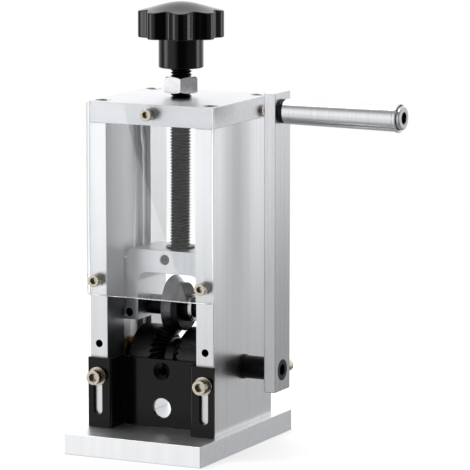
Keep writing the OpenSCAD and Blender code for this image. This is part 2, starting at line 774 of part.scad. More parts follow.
module handle_bush() {
    color(black) translate([arm_out, axis_y, handle_z]) face_right()
        tube(bush_d / 2, m8_d / 2 + seat_gap, bush_l);
}
module handle_bolt() {
    under_head = grip_end - head_sink + end_gap;
    color(steel) translate([under_head, axis_y, handle_z]) face_right()
        cap_screw(m8_d, under_head - arm_x, m8_head_d, m8_head_h, m8_hex);
}
module handle_grip() {
    bore_r = m8_d / 2 + run_gap;
    sink_r = m8_head_d / 2 + head_gap;
    rim_x = grip_l - grip_rim_w;
    step = grip_groove_depth;
    color(silver) translate([grip_x, axis_y, handle_z]) face_right() rotate_extrude() polygon([
        [bore_r, 0], [grip_d / 2 - edge_r, 0], [grip_d / 2, edge_r], [grip_big_d / 2, rim_x - 2 * step],
        [grip_big_d / 2 - step, rim_x - step], [grip_big_d / 2 - step, rim_x], [grip_rim_d / 2, rim_x],
        [grip_rim_d / 2, grip_l - step], [grip_rim_d / 2 - step, grip_l], [sink_r, grip_l],
        [sink_r, grip_l - head_sink], [bore_r, grip_l - head_sink]]);
}

base_plate();
left_side_plate();
right_side_plate();
top_plate();
top_screws();
base_screws();
guard();
guard_screws();
side_screw();
left_bush();
right_bush();
guide_screws();
guide_washers();
wire_guide();
carriage();
blade_axle();
left_spacer();
right_spacer();
axle_screws();
retaining_screw();
threaded_rod();
rod_washer();
knob();
lock_nut();
blade();
blade_hub();
blade_bearing();
drive_shaft();
shaft_washer();
shaft_ring();
left_drum_cheek();
drum_core();
right_drum_cheek();
drum_key();
crank_arm();
arm_screw();
arm_screw_washer();
handle_bolt();
handle_bush();
handle_grip();
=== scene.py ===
import json
import math

import bmesh
import bpy
from mathutils import Matrix, Vector

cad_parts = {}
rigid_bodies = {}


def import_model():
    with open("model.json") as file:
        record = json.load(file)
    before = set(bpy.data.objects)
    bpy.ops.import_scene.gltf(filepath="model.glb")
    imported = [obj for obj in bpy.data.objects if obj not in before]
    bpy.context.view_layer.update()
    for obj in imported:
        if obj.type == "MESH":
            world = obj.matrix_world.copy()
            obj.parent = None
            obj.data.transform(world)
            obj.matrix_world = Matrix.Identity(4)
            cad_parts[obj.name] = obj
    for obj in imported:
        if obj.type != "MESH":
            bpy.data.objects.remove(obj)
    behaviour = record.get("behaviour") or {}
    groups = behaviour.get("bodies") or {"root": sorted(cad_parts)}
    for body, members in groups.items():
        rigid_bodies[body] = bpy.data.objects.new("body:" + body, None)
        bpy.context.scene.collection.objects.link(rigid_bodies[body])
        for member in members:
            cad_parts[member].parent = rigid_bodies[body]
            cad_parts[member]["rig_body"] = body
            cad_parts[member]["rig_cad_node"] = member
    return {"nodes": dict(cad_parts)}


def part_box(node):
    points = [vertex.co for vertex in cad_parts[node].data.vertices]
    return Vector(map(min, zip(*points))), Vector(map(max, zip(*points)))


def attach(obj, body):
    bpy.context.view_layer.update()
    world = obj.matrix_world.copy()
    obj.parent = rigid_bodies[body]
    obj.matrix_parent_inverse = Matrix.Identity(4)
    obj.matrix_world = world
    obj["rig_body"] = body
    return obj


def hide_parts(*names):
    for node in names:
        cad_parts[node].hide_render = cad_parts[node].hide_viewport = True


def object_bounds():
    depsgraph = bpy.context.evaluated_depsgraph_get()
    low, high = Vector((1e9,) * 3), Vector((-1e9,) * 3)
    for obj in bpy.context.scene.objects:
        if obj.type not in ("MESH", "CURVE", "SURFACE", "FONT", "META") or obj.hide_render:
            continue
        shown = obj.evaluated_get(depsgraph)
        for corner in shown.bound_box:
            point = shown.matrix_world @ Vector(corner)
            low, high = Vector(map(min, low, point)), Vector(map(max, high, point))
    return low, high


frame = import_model()
cadLow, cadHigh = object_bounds()
nodes = frame["nodes"]
bodyOf = {name: node["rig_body"] for name, node in nodes.items()}
mm = 0.001
tiny = 0.001 * mm  # closer than this, two corners are one
sharp = math.radians(30)  # faces that meet at more than this have an edge between them
crease = math.radians(50)  # faces that meet at more than this are shaded apart
flat = math.radians(1)  # faces that meet at less than this become one
roundShare = 0.3  # where the middle point of a three-point rounded corner lies, as a share of its size
alongAxis = 0.9  # a face looks along an axis when its normal's part on that axis is above this
offAxis = 0.5  # a face looks away from an axis when that part is below this
print("frame loaded")

# Small helpers


def letGo():
    if bpy.context.mode != "OBJECT":
        bpy.ops.object.mode_set(mode="OBJECT")
    bpy.ops.object.select_all(action="DESELECT")


def hold(*pieces):
    letGo()
    for piece in pieces:
        piece.select_set(True)
    bpy.context.view_layer.objects.active = pieces[0]


def edit(piece, kind="FACE"):
    hold(piece)
    bpy.ops.object.mode_set(mode="EDIT")
    bpy.ops.mesh.select_mode(type=kind)
    bpy.ops.mesh.select_all(action="DESELECT")


def pick(piece, kind, test):
    # Selects the faces, edges or vertices of a piece in edit mode that pass a test
    grid = bmesh.from_edit_mesh(piece.data)
    for part in {"FACE": grid.faces, "EDGE": grid.edges, "VERT": grid.verts}[kind]:
        part.select_set(bool(test(part)))
    bmesh.update_edit_mesh(piece.data)


def middle(edge):
    return (edge.verts[0].co + edge.verts[1].co) / 2


def tidyMesh(piece):
    edit(piece, "VERT")
    bpy.ops.mesh.select_all(action="SELECT")
    bpy.ops.mesh.remove_doubles(threshold=tiny)
    bpy.ops.mesh.normals_make_consistent(inside=False)
    letGo()


def breakEdges(piece, width, segments=2, test=None):
    # Rounds the sharp edges of a piece, or those of them that pass a test
    edit(piece, "EDGE")

    def chosen(edge):
        met = len(edge.link_faces) == 2 and edge.calc_face_angle(0) > sharp
        return met and (test is None or test(edge))

    pick(piece, "EDGE", chosen)
    bpy.ops.mesh.bevel(offset=width, segments=segments, affect="EDGES", clamp_overlap=False)
    letGo()


def applyAll(piece):
    hold(piece)
    for modifier in list(piece.modifiers):
        bpy.ops.object.modifier_apply(modifier=modifier.name)


def softShade(piece):
    # Smooth rounded edges, with the large faces beside them kept flat
    hold(piece)
    bpy.ops.object.shade_smooth_by_angle(angle=crease)
    steady = piece.modifiers.new("steady", "WEIGHTED_NORMAL")
    steady.keep_sharp = True
    steady.weight = 100
    applyAll(piece)


def bakePlace(piece):
    hold(piece)
    bpy.ops.object.transform_apply(location=True, rotation=True, scale=True)


def cutWith(piece, tool, action="DIFFERENCE"):
    # Cuts, joins or overlaps a piece with a tool, and clears the tool away
    modifier = piece.modifiers.new("cut", "BOOLEAN")
    modifier.operation = action
    modifier.solver = "EXACT"
    modifier.object = tool
    applyAll(piece)
    mesh = tool.data
    bpy.data.objects.remove(tool)
    bpy.data.meshes.remove(mesh)


def joined(name, pieces):
    hold(*pieces)
    if len(pieces) > 1:
        bpy.ops.object.join()
    made = bpy.context.object
    made.name = name
    made.data.name = name
    return made


def column(name, radius, height, low=0.0, sides=96):
    # An upright prism or drum shape that is cut or joined further
    bpy.ops.mesh.primitive_cylinder_add(vertices=sides, radius=radius, depth=height,
                                        location=(0, 0, low + height / 2))
    made = bpy.context.object
    made.name = name
    bakePlace(made)
    return made


def outlineOf(name, corners):
    # A row of points joined by edges, ready to be spun or wound
    mesh = bpy.data.meshes.new(name)
    mesh.from_pydata(corners, [(i, i + 1) for i in range(len(corners) - 1)], [])
    made = bpy.data.objects.new(name, mesh)
    bpy.context.scene.collection.objects.link(made)
    return made


def lathe(name, profile, steps=96):
    # Spins an outline of (radius, height) points around the upright axis
    made = outlineOf(name, [(radius, 0, height) for radius, height in profile])
    spin = made.modifiers.new("spin", "SCREW")
    spin.axis = "Z"
    spin.angle = math.tau
    spin.steps = steps
    spin.render_steps = steps
    spin.use_merge_vertices = True
    spin.merge_threshold = tiny
    applyAll(made)
    tidyMesh(made)
    return made


facing = {
    "up": Matrix.Identity(4),
    "down": Matrix.Rotation(math.pi, 4, "X"),
    "front": Matrix.Rotation(math.pi / 2, 4, "X"),
    "back": Matrix.Rotation(-math.pi / 2, 4, "X"),
    "right": Matrix.Rotation(math.pi / 2, 4, "Y"),
}


def put(piece, place, side="up", turn=0.0):
    # Moves a piece that was made upright on the origin onto its place, facing one side
    turned = Matrix.Rotation(math.radians(turn), 4, "Z")
    piece.data.transform(Matrix.Translation(place) @ facing[side] @ turned)
    return piece


def centreOf(node):
    low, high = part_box(node)
    return (low + high) / 2


def copyOf(piece):
    made = piece.copy()
    made.data = piece.data.copy()
    bpy.context.scene.collection.objects.link(made)
    return made


def markFaces(piece, test, index=1):
    # Gives the faces that pass a test another of the piece's materials
    for face in piece.data.polygons:
        if test(face):
            face.material_index = index


def settle(piece, material, *stoodFor, inner=()):
    # Gives a finished piece its materials and body in place of the CAD nodes it stands for, and hides those
    # nodes
    marked = [face.material_index for face in piece.data.polygons]
    piece.data.materials.clear()
    piece.data.materials.append(material)
    for other in inner:
        piece.data.materials.append(other)
    if inner:
        piece.data.polygons.foreach_set("material_index", marked)
    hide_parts(*stoodFor)
    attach(piece, bodyOf[stoodFor[0]])


def softCopy(name, node, width, segments=2, test=None):
    # A copy of a CAD node with its sharp edges rounded
    made = nodes[node].copy()
    made.data = nodes[node].data.copy()
    made.name = name
    made.data.name = name
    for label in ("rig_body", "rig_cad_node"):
        del made[label]
    made.parent = None
    bpy.context.scene.collection.objects.link(made)
    edit(made, "VERT")
    bpy.ops.mesh.select_all(action="SELECT")
    bpy.ops.mesh.remove_doubles(threshold=tiny)
    bpy.ops.mesh.dissolve_limited(angle_limit=flat)
    bpy.ops.mesh.normals_make_consistent(inside=False)
    breakEdges(made, width, segments, test)
    softShade(made)
    return made


# Materials


def linear(hexValue):
    shown = [int(hexValue[i:i + 2], 16) / 255 for i in (0, 2, 4)]
    return (*[c / 12.92 if c <= 0.04045 else ((c + 0.055) / 1.055) ** 2.4 for c in shown], 1.0)


def addNode(tree, kind, settings=None, values=None, links=None):
    made = tree.nodes.new(kind)
    for name, value in (settings or {}).items():
        setattr(made, name, value)
    for name, value in (values or {}).items():
        made.inputs[name].default_value = value
    for name, source in (links or {}).items():
        tree.links.new(source, made.inputs[name])
    return made


def worked(tree, operation, links, values=None):
    return addNode(tree, "ShaderNodeMath", settings={"operation": operation}, values=values,
                   links=links).outputs[0]


def eased(tree, source, values):
    # A range of values with a soft start and end
    return addNode(tree, "ShaderNodeMapRange", settings={"interpolation_type": "SMOOTHSTEP"}, values=values,
                   links={"Value": source}).outputs[0]


def startMaterial(name, color, metallic, roughness):
    made = bpy.data.materials.new(name)
    made.use_nodes = True
    tree = made.node_tree
    tree.nodes.clear()
    shader = addNode(tree, "ShaderNodeBsdfPrincipled", values={
        "Base Color": linear(color), "Metallic": metallic, "Roughness": roughness})
    addNode(tree, "ShaderNodeOutputMaterial", links={"Surface": shader.outputs[0]})
    return made, tree, shader


def showInstead(tree, source):
    # Puts another shader on a material's output
    output = next(node for node in tree.nodes if node.type == "OUTPUT_MATERIAL")
    tree.links.new(source, output.inputs["Surface"])


def grainOf(tree, scale, detail=3.0):
    # Noise in the object's own space; a low scale along one axis draws it out into streaks
    place = addNode(tree, "ShaderNodeTexCoord")
    spread = addNode(tree, "ShaderNodeMapping", values={"Scale": scale},
                     links={"Vector": place.outputs["Object"]})
    noise = addNode(tree, "ShaderNodeTexNoise", values={"Scale": 1.0, "Detail": detail, "Roughness": 0.6},
                    links={"Vector": spread.outputs[0]})
    return noise.outputs["Fac"]


def spreadOver(tree, source, low, high):
    # Takes the middle of a noise and spreads it over a range of values
    return addNode(tree, "ShaderNodeMapRange", values={
        "From Min": 0.3, "From Max": 0.7, "To Min": low, "To Max": high},
        links={"Value": source}).outputs[0]


def tinted(tree, source, dark, light):
    mixed = addNode(tree, "ShaderNodeMix", settings={"data_type": "RGBA"})
    share = spreadOver(tree, source, 0, 1)
    tree.links.new(share, mixed.inputs[0])
    mixed.inputs[6].default_value = linear(dark)
    mixed.inputs[7].default_value = linear(light)
    return mixed.outputs[2]


def bumped(tree, shader, source, strength, depth):
    bump = addNode(tree, "ShaderNodeBump", values={"Strength": strength, "Distance": depth},
                   links={"Height": source})
    tree.links.new(bump.outputs[0], shader.inputs["Normal"])


def shadeUpright(tree, color, shade):
    # Paints shade on an upright piece: darker towards its foot, and, if it has one, a painted dark band near
    # its top
    place = addNode(tree, "ShaderNodeTexCoord")
    parts = addNode(tree, "ShaderNodeSeparateXYZ", links={"Vector": place.outputs["Object"]})
    share = eased(tree, parts.outputs["Z"], {
        "From Min": shade["low"], "From Max": shade["high"], "To Min": shade["foot"], "To Max": 0.0})
    if "band" in shade:
        away = worked(tree, "SUBTRACT", {0: parts.outputs["Y"]}, {1: shade["middle"]})
        away = worked(tree, "ABSOLUTE", {0: away})
        near = eased(tree, away, {"From Max": shade["reach"], "To Min": shade["band"], "To Max": 0.0})
        up = eased(tree, parts.outputs["Z"], {"From Min": shade["low"], "From Max": shade["high"]})
        share = worked(tree, "MULTIPLY_ADD", {0: near, 1: up, 2: share})
    mixed = addNode(tree, "ShaderNodeMix", settings={"data_type": "RGBA"})
    tree.links.new(share, mixed.inputs[0])
    tree.links.new(color, mixed.inputs[6])
    mixed.inputs[7].default_value = (0, 0, 0, 1)
    return mixed.outputs[2]


brushed = {
    "fineDetail": 4.0,
    "wideDetail": 2.0,
    "wider": 6,  # how many times wider the streaks of tone are than those of roughness
    "strength": 0.25,
    "depth": 0.02 * mm,
}


def brushedAluminium(name, scale, dark, light, roughness, shade=None):
    # Gives the plates the faint drawn-out streaks of milled and clear anodised stock
    made, tree, shader = startMaterial(name, light, 1.0, 0.35)
    fine = grainOf(tree, scale, brushed["fineDetail"])
    wide = grainOf(tree, tuple(part / brushed["wider"] for part in scale), brushed["wideDetail"])
    color = tinted(tree, wide, dark, light)
    if shade:
        color = shadeUpright(tree, color, shade)
    tree.links.new(color, shader.inputs["Base Color"])
    tree.links.new(spreadOver(tree, fine, *roughness), shader.inputs["Roughness"])
    bumped(tree, shader, fine, brushed["strength"], brushed["depth"])
    return made


def grainedMetal(name, dark, light, roughness, scale=(900, 900, 900), bump=0.1):
    # Gives plated and oxidised steel a tone that wanders slightly, so that it doesn't look moulded
    made, tree, shader = startMaterial(name, light, 1.0, roughness[0])
    grain = grainOf(tree, scale)
    tree.links.new(tinted(tree, grain, dark, light), shader.inputs["Base Color"])
    tree.links.new(spreadOver(tree, grain, *roughness), shader.inputs["Roughness"])
    bumped(tree, shader, grain, bump, 0.02 * mm)
    return made


def mouldedBlack(name, color, roughness, grainSize, bump, gloss=0.5):
    # Gives black plastic and paint an even tone with a fine surface grain
    made, tree, shader = startMaterial(name, color, 0.0, roughness[0])
    shader.inputs["Specular IOR Level"].default_value = gloss
    grain = grainOf(tree, (grainSize, grainSize, grainSize))
    tree.links.new(spreadOver(tree, grain, *roughness), shader.inputs["Roughness"])
    bumped(tree, shader, grain, bump, 0.03 * mm)
    return made


acrylicLook = {
    "ior": 1.3,  # a thin sheet that mirrors less than solid acrylic
    "haze": (0.008, 0.014),
    "hazeRoughness": 0.6,
    "specks": (120, 120, 30),
    "shadow": 0.9,  # share of the light that passes through to the inside
    "edge": 0.35,  # share of the sawn edge that is see-through
}


def clearAcrylic():
    # Gives the guard the look of a clear sheet with a thin grey haze, and lets light through to the inside
    made, tree, shader = startMaterial("clear acrylic", "FBFCFC", 0.0, 0.01)
    shader.inputs["Transmission Weight"].default_value = 1.0
    shader.inputs["IOR"].default_value = acrylicLook["ior"]
    haze = addNode(tree, "ShaderNodeBsdfPrincipled", values={
        "Base Color": linear("F0F3F5"), "Roughness": acrylicLook["hazeRoughness"]})
    specks = grainOf(tree, acrylicLook["specks"], 2.0)
    share = spreadOver(tree, specks, *acrylicLook["haze"])
    hazed = addNode(tree, "ShaderNodeMixShader", links={0: share, 1: shader.outputs[0], 2: haze.outputs[0]})
    path = addNode(tree, "ShaderNodeLightPath")
    passed = (*[acrylicLook["shadow"]] * 3, 1)
    through = addNode(tree, "ShaderNodeBsdfTransparent", values={"Color": passed})
    lit = addNode(tree, "ShaderNodeMixShader", links={
        0: path.outputs["Is Shadow Ray"], 1: hazed.outputs[0], 2: through.outputs[0]})
    showInstead(tree, lit.outputs[0])
    return made


def milkyEdge():
    # Gives the sawn edges of the guard their pale line
    made, tree, shader = startMaterial("acrylic, edge", "FFFFFF", 0.0, 0.4)
    through = addNode(tree, "ShaderNodeBsdfTransparent")
    mixed = addNode(tree, "ShaderNodeMixShader", values={0: acrylicLook["edge"]}, links={
        1: shader.outputs[0], 2: through.outputs[0]})
    showInstead(tree, mixed.outputs[0])
    return made


alongZ = (1800, 1800, 14)
alongX = (14, 1800, 1800)
aroundX = (2600, 60, 60)
# painted shade on the uprights and the arm: how much darker they are painted towards their foot, and on the
# right plate a painted dark band near its top
uprightShade = {"low": 55 * mm, "high": 170 * mm, "foot": 0.18}
sidePlateShade = {"low": 50 * mm, "high": 165 * mm, "foot": 0.26, "band": 0.36, "middle": -5 * mm, "reach": 26 * mm}
armShade = {"low": 70 * mm, "high": 190 * mm, "foot": 0.32}
upright = ("EAECEF", "F0F1F3", (0.27, 0.35))
uprightAluminium = brushedAluminium("aluminium, brushed upright", alongZ, *upright, uprightShade)
# the right plate: a lighter copy of the upright aluminium as painted light, with painted shade towards its
# foot and a painted dark band
sideAluminium = brushedAluminium("aluminium, right plate", alongZ, "F0F1F4", "F6F7F9", (0.27, 0.35), sidePlateShade)
# painted shade: a darker copy of the plate aluminium for the plates' inner faces and the carriage's top faces
shadedInnerAluminium = brushedAluminium("aluminium, inner faces in painted shade", alongZ, "B0B2B6", "BABCC0", (0.3, 0.4))
levelAluminium = brushedAluminium("aluminium, brushed across", alongX, "D4D6DA", "DEDFE2", (0.30, 0.40))
baseAluminium = brushedAluminium("aluminium, sawn", (900, 900, 50), "F2F3F5", "FAFBFC", (0.34, 0.42))
armAluminium = brushedAluminium("aluminium, arm", alongZ, "D6D8DB", "E0E1E4", (0.22, 0.30), armShade)
# painted shade: the carriage is given a darker tone than the plates for the shade it sits in between them
carriageAluminium = brushedAluminium("aluminium, carriage", alongZ, "D2D4D8", "DCDEE1", (0.28, 0.38))
turnedAluminium = brushedAluminium("aluminium, turned", aroundX, "DADBDE", "E4E5E8", (0.20, 0.26))
nickel = grainedMetal("nickel plate", "BDB4A6", "D3CABC", (0.18, 0.3))
# painted shade inside the screws' hex sockets
socketShade = grainedMetal("nickel plate, painted shade in a socket", "564738", "71604D", (0.3, 0.45))
# painted shade: a darker copy of the nickel for the top screws' heads, sunk in their counterbores
sunkShadedNickel = grainedMetal("nickel plate, sunk heads in painted shade", "7C766E", "938C82", (0.25, 0.4))
blackOxide = grainedMetal("black oxide steel", "1C1C1E", "28282B", (0.34, 0.46))
threadSteel = grainedMetal("black oxide thread", "0C0C0D", "151516", (0.3, 0.4))
drumSteel = grainedMetal("black oxide drum", "303030", "3E3E3D", (0.3, 0.4))
brightSteel = grainedMetal("bright turned steel", "B8B8BA", "CDCDCF", (0.18, 0.3), scale=aroundX)
nutSteel = grainedMetal("plated nut steel", "DCDCDE", "ECECEE", (0.14, 0.24))
# painted shade: the knife's ground steel is given a dark tone for the shade it sits in inside the frame
knifeFace = grainedMetal("knife face, ground", "6C6C6F", "838387", (0.24, 0.36), scale=(60, 1500, 1500))
knifeEdge = grainedMetal("knife bevel, ground", "66666A", "7C7C80", (0.2, 0.3), scale=(60, 2500, 2500))
bronze = grainedMetal("turned bronze", "8E6F3F", "A98651", (0.28, 0.4), scale=aroundX)
knobBlack = mouldedBlack("glossy phenolic", "040405", (0.12, 0.2), 1500, 0.05, gloss=0.3)
guideBlack = mouldedBlack("satin black paint", "0B0B0C", (0.12, 0.18), 2600, 0.06, gloss=0.22)
nylon = mouldedBlack("black nylon", "0B0B0C", (0.38, 0.5), 1800, 0.15, gloss=0.2)
# painted shade: near black for the walls of the spare holes
boreShade = mouldedBlack("painted shade in a bore", "050505", (0.6, 0.7), 900, 0.1, gloss=0.1)
acrylic = clearAcrylic()
acrylicEdge = milkyEdge()
print("materials made")

# Screws, each kind modelled once and copied to its places

capScrews = {
    "m4": {"shank": 4 * mm, "head": 7 * mm, "height": 4 * mm, "hex": 3.4 * mm, "round": 0.35 * mm},
    "m4 low": {"shank": 4 * mm, "head": 7 * mm, "height": 1.9 * mm, "hex": 2.5 * mm, "round": 0.3 * mm},
    "m5": {"shank": 5 * mm, "head": 8.5 * mm, "height": 5 * mm, "hex": 4.5 * mm, "round": 0.4 * mm},
    "m6": {"shank": 6 * mm, "head": 10 * mm, "height": 6 * mm, "hex": 5 * mm, "round": 0.5 * mm},
    "m8": {"shank": 8 * mm, "head": 13 * mm, "height": 8 * mm, "hex": 6 * mm, "round": 0.7 * mm},
}
socket = {
    "depthShare": 0.6,  # of the head's height
    "mouth": 0.25 * mm,  # width of the cone at its mouth
}


def cornerRadius(flats):
    # From the middle of a hexagon to its corners
    return flats / 2 / math.cos(math.pi / 6)


def hexColumn(name, flats, height, low):
    return column(name, cornerRadius(flats), height, low, sides=6)


def makeCapScrew(kind, grip):
    # A socket head screw whose head stands on the origin, with its shank below
    size = capScrews[kind]
    made = column("capScrew", size["head"] / 2, size["height"], sides=72)
    edit(made, "FACE")
    pick(made, "FACE", lambda face: face.normal.z < -alongAxis)
    bpy.ops.mesh.inset(thickness=(size["head"] - size["shank"]) / 2, depth=0)
    bpy.ops.mesh.extrude_region_move(TRANSFORM_OT_translate={"value": (0, 0, -grip)})
    letGo()
    breakEdges(made, size["round"], 3, lambda edge: middle(edge).z > size["height"] - tiny)
    breakEdges(made, size["round"], 1, lambda edge: middle(edge).z < tiny - grip)
    depth = size["height"] * socket["depthShare"]
    cutWith(made, hexColumn("socket", size["hex"], size["height"], size["height"] - depth))
    mouth = cornerRadius(size["hex"])
    outer = mouth + socket["mouth"]
    over = size["height"] + outer - mouth
    cutWith(made, lathe("mouth", [(0, size["height"] - mouth), (outer, over), (0, over)]))
    tidyMesh(made)
    made.data.materials.append(None)  # a place for the screw's material
    made.data.materials.append(None)  # and one for the painted shade in its socket
    floorZ = size["height"] - depth
    # painted shade: the socket's floor and walls get a darker, browner nickel
    markFaces(made, lambda face: face.center.z > floorZ - tiny and face.center.xy.length < mouth
              and face.center.z < size["height"] - tiny)
    return made


def placeScrews(name, kind, grip, places, side, node, material, turns):
    pattern = makeCapScrew(kind, grip)
    made = []
    for place, turn in zip(places, turns):
        made.append(put(copyOf(pattern), Vector(place), side, turn))
    bpy.data.objects.remove(pattern)
    whole = joined(name, made)
    softShade(whole)
    settle(whole, material, node, inner=[socketShade])


def pairOf(node, inset):
    # The left and right places of a node's two rows of screws
    low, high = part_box(node)
    return low.x + inset, high.x - inset


def fourPlaces(node, head, seat):
    # The places of a node's four screws, left before right and front before back
    low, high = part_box(node)
    return [(x, y, seat) for x in pairOf(node, head / 2) for y in (low.y + head / 2, high.y - head / 2)]


singleScrews = {
    # node, kind, side that the head faces, material, turn of the socket
    "sideScrew": ("side_screw", "m4 low", "right", nickel, 18),
    "armScrew": ("arm_screw", "m4", "back", nickel, 9),
    "handleBolt": ("handle_bolt", "m8", "right", brightSteel, 22),
}


def makeSingleScrew(name, node, kind, side, material, turn):
    low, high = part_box(node)
    axis = {"right": 0, "back": 1}[side]
    seat = high[axis] - capScrews[kind]["height"]
    place = (low + high) / 2
    place[axis] = seat
    placeScrews(name, kind, seat - low[axis], [place], side, node, material, (turn,))


def makeScrews():
    m4, m5, m6 = capScrews["m4"], capScrews["m5"], capScrews["m6"]
    low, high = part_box("guard_screws")
    left, right = pairOf("guard_screws", m4["head"] / 2)
    seat = low.y + m4["height"]
    lower = low.z + m4["head"] / 2
    places = [(0, seat, high.z - m4["head"] / 2), (left, seat, lower), (right, seat, lower)]
    placeScrews("guardScrews", "m4", high.y - seat, places, "front", "guard_screws", nickel, (12, 40, 27))

    low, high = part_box("guide_screws")
    left, right = pairOf("guide_screws", m5["head"] / 2)
    seat = low.y + m5["height"]
    height = (low.z + high.z) / 2
    placeScrews("guideScrews", "m5", high.y - seat, [(left, seat, height), (right, seat, height)], "front",
                "guide_screws", nickel, (8, 33))

    low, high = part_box("top_screws")
    seat = high.z - m5["height"]
    placeScrews("topScrews", "m5", seat - low.z, fourPlaces("top_screws", m5["head"], seat), "up",
                "top_screws", sunkShadedNickel, (5, 21, 44, 30))

    low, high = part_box("base_screws")
    seat = low.z + m6["height"]
    placeScrews("baseScrews", "m6", high.z - seat, fourPlaces("base_screws", m6["head"], seat), "down",
                "base_screws", nickel, (14, 3, 38, 26))

    for name, screw in singleScrews.items():
        makeSingleScrew(name, *screw)


makeScrews()
print("screws made")

# Plates, arm, carriage, guide and guard: the CAD solids with their edges broken

brokenEdge = {
    "plate": 0.35 * mm,
    "arm": 0.4 * mm,
    "carriage": 0.3 * mm,
    "guide": 0.2 * mm,
    "guard": 0.25 * mm,
}
longEdge = 3 * mm  # shorter edges belong to round holes
boreFaces, innerFaces, rightFaces = 1, 2, 3  # places of the plates' further materials


def isLong(edge):
    return edge.calc_length() > longEdge


def isInnerFront(face):
    # The parts of the side plates' inner faces in front of the grooves, which are painted darker as painted
    # shade
    inward = face.center.x * face.normal.x < 0 and abs(face.normal.x) > alongAxis
    return inward and face.center.y < grooveMiddle


def shadeBores(piece, bores):
    # Paints shade on the walls of round holes that run from front to back, each given as (x, z, radius)
    for x, z, radius in bores:
        def inside(face):
            away = math.hypot(face.center.x - x, face.center.z - z)
            return away < radius and abs(face.normal.y) < offAxis
        markFaces(piece, inside, boreFaces)


spareHole = {"height": 60 * mm, "radius": 2.4 * mm}
grooveMiddle = sum(corner.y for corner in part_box("carriage")) / 2
guardGap = 0.05 * mm  # air behind the guard, so that no two faces lie in one plane


def makePlates():
    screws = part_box("guide_screws")
    side = screws[1].x - capScrews["m5"]["head"] / 2
    holes = [(x, spareHole["height"], spareHole["radius"]) for x in (-side, side)]
    for name, node, material in (
            ("basePlate", "base_plate", baseAluminium),
            ("leftSidePlate", "left_side_plate", uprightAluminium),
            ("rightSidePlate", "right_side_plate", sideAluminium),
            ("topPlate", "top_plate", levelAluminium)):
        made = softCopy(name, node, brokenEdge["plate"], 3, isLong)
        markFaces(made, isInnerFront, innerFaces)
        if name == "basePlate":
            # painted shade: the base plate's right end face gets the darker across-brushed aluminium of the
            # top plate
            markFaces(made, lambda face: face.normal.x > alongAxis, rightFaces)
        shadeBores(made, holes)
        settle(made, material, node, inner=[boreShade, shadedInnerAluminium, levelAluminium])
    arm = softCopy("crankArm", "crank_arm", brokenEdge["arm"], 3, isLong)
    arm.visible_glossy = False  # the side plate mirrors the bright room and not the arm beside it
    settle(arm, armAluminium, "crank_arm")
    block = softCopy("knifeCarriage", "carriage", brokenEdge["carriage"], 3, isLong)
    # the carriage's top faces get the darker inner aluminium as painted shade
    markFaces(block, lambda face: face.normal.z > alongAxis)
    settle(block, carriageAluminium, "carriage", inner=[shadedInnerAluminium])
    settle(softCopy("wireGuide", "wire_guide", brokenEdge["guide"]), guideBlack, "wire_guide")
    guard = softCopy("clearGuard", "guard", brokenEdge["guard"], 1)
    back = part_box("guard")[1].y
    for vertex in guard.data.vertices:
        if vertex.co.y > back - tiny:
            vertex.co.y = back - guardGap
    markFaces(guard, lambda face: abs(face.normal.y) < offAxis)
    settle(guard, acrylic, "guard", inner=[acrylicEdge])
    return guard


clearGuard = makePlates()
print("plates made")

# Turned pieces: the CAD solids with broken rims

turnedPieces = {
    # node, material, width of the broken rim in millimetres
    "leftBush": ("left_bush", bronze, 0.2),
    "rightBush": ("right_bush", bronze, 0.2),
    "knifeAxle": ("blade_axle", brightSteel, 0.3),
    "leftSpacer": ("left_spacer", blackOxide, 0.3),
    "rightSpacer": ("right_spacer", blackOxide, 0.3),
    "axleScrews": ("axle_screws", blackOxide, 0.12),
    "retainingScrew": ("retaining_screw", blackOxide, 0.12),
    "rodWasher": ("rod_washer", blackOxide, 0.15),
    "knifeHub": ("blade_hub", blackOxide, 0.25),
    "knifeBearing": ("blade_bearing", brightSteel, 0.2),
    "driveShaft": ("drive_shaft", blackOxide, 0.2),
    "shaftWasher": ("shaft_washer", nylon, 0.2),
    "shaftRing": ("shaft_ring", brightSteel, 0.12),
    "drumKey": ("drum_key", brightSteel, 0.15),
    "guideWashers": ("guide_washers", nickel, 0.12),
    "leftDrumCheek": ("left_drum_cheek", drumSteel, 0.1),
    "drumCore": ("drum_core", drumSteel, 0.1),
    "rightDrumCheek": ("right_drum_cheek", drumSteel, 0.1),
    "handleBush": ("handle_bush", nylon, 0.25),
}


def makeTurnedPieces():
    for name, (node, material, width) in turnedPieces.items():
        settle(softCopy(name, node, width * mm), material, node)


makeTurnedPieces()
print("turned pieces made")

# Knife: ground faces and a ground bevel

knife = {
    "edge": 0.04 * mm,
    "bevelFrom": 0.3,  # the bevel's faces are told by how far their normals point to the right
    "bevelTo": 0.95,
}


def makeKnife():
    made = softCopy("knife", "blade", knife["edge"], 1)
    markFaces(made, lambda face: knife["bevelFrom"] < face.normal.x < knife["bevelTo"])
    settle(made, knifeFace, "blade", inner=[knifeEdge])


makeKnife()

# Split lock washer under the arm's screw


lockWasher = {"inner": 2.1 * mm, "soft": 0.15 * mm, "slit": 0.5 * mm, "slant": 25, "turn": 50, "steps": 72}


